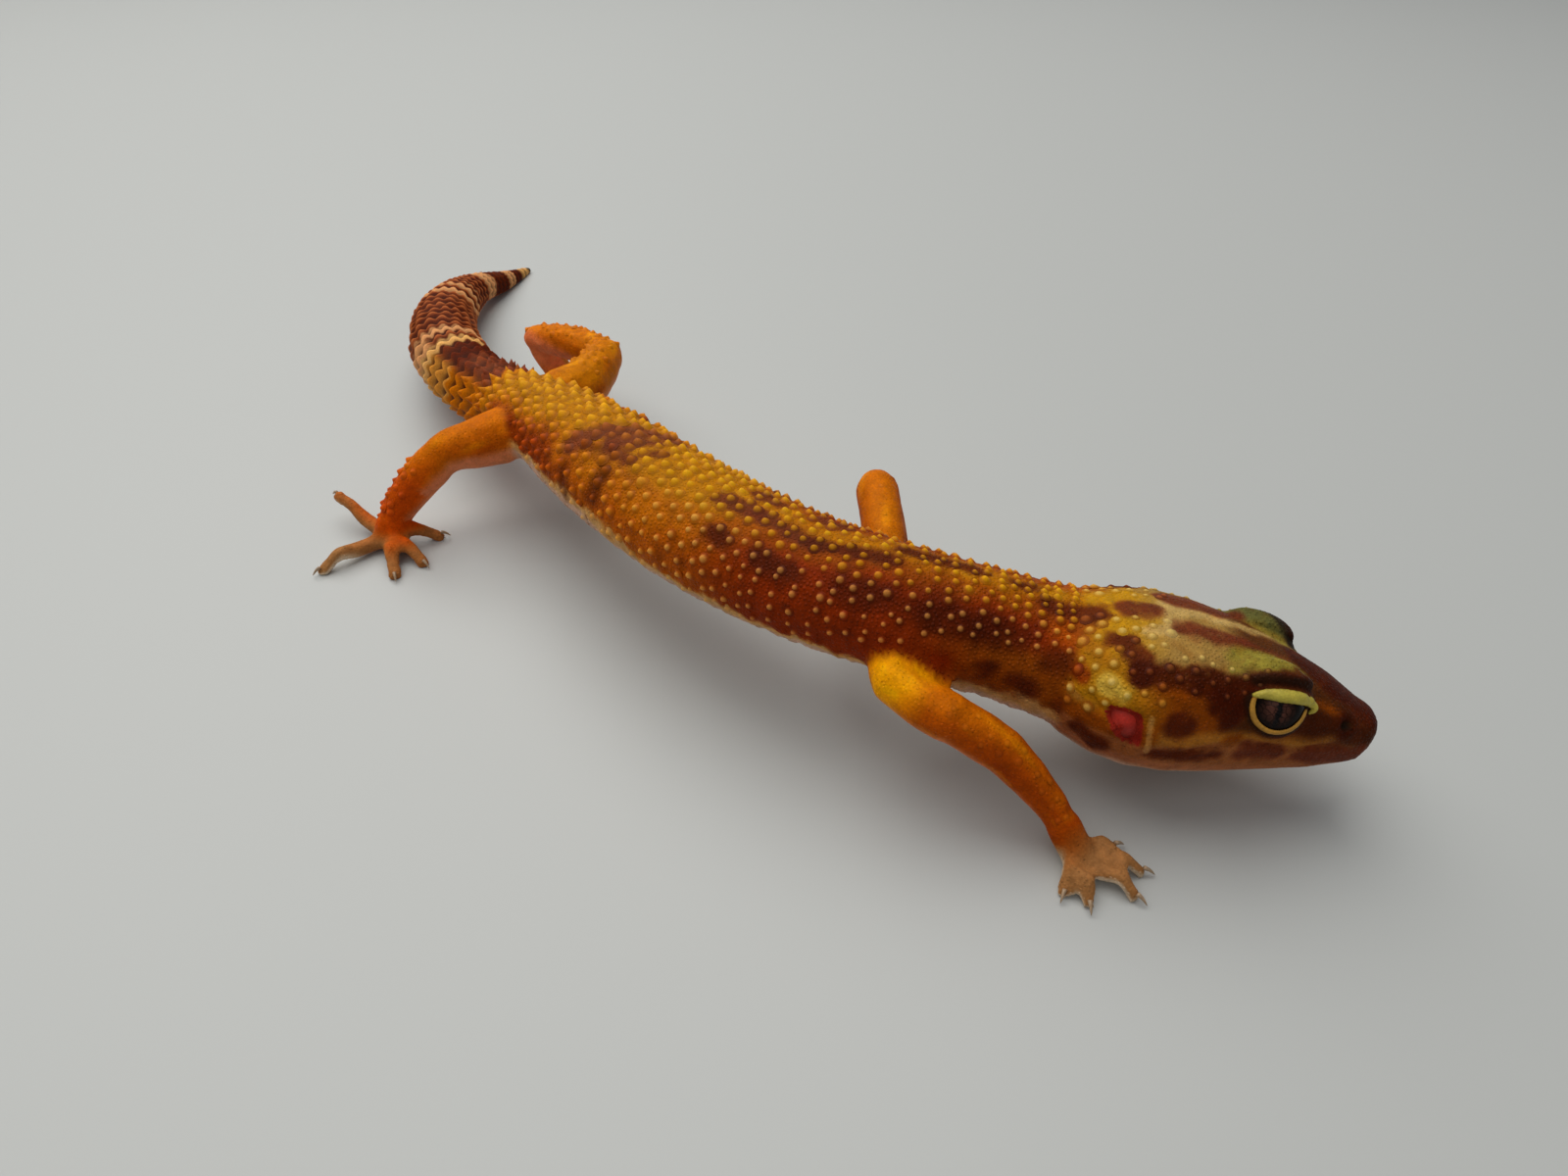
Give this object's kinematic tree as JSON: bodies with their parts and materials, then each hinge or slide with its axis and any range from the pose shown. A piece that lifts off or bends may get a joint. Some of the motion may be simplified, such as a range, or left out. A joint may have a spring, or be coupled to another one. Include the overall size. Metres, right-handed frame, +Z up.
{
  "type": "leopard gecko",
  "caption": "Life-size still model of a young leopard gecko walking, head turned to its left, with a ringed, tapering tail that curves round to rest on the floor.",
  "frame": {"origin": "on the floor, under the middle of the animal's bounding box", "axes": "+Z up; the snout is at the -Y end and the tip of the tail at the +Y end; the animal's left side is towards +X"},
  "size_m": [0.0776, 0.1782, 0.0224],
  "materials": {
    "skin": "matt granular skin in mustard yellow and orange with brown blotches, tubercles in rows",
    "eye": "moist, dark brown-grey iris with fine veins and a slit pupil",
    "eardrum": "thin moist membrane, dull red",
    "claw": "translucent brown horn"
  },
  "bodies": {
    "root": {"neck": "skin", "chest": "skin", "belly": "skin", "pelvis": "skin", "tail_1": "skin", "tail_2": "skin", "tail_3": "skin", "tail_4": "skin", "head": "skin", "lower_jaw": "skin", "eye_l": "eye", "ear_l": "eardrum", "eye_r": "eye", "ear_r": "eardrum", "fore_r_upper": "skin", "fore_r_lower": "skin", "fore_r_foot": "skin", "claw_fore_r_1": "claw", "claw_fore_r_2": "claw", "claw_fore_r_3": "claw", "claw_fore_r_4": "claw", "claw_fore_r_5": "claw", "fore_l_upper": "skin", "fore_l_lower": "skin", "fore_l_foot": "skin", "claw_fore_l_1": "claw", "claw_fore_l_2": "claw", "claw_fore_l_3": "claw", "claw_fore_l_4": "claw", "claw_fore_l_5": "claw", "hind_r_upper": "skin", "hind_r_lower": "skin", "hind_r_foot": "skin", "claw_hind_r_1": "claw", "claw_hind_r_2": "claw", "claw_hind_r_3": "claw", "claw_hind_r_4": "claw", "claw_hind_r_5": "claw", "hind_l_upper": "skin", "hind_l_lower": "skin", "hind_l_foot": "skin", "claw_hind_l_1": "claw", "claw_hind_l_2": "claw", "claw_hind_l_3": "claw", "claw_hind_l_4": "claw", "claw_hind_l_5": "claw"}
  },
  "joints": []
}
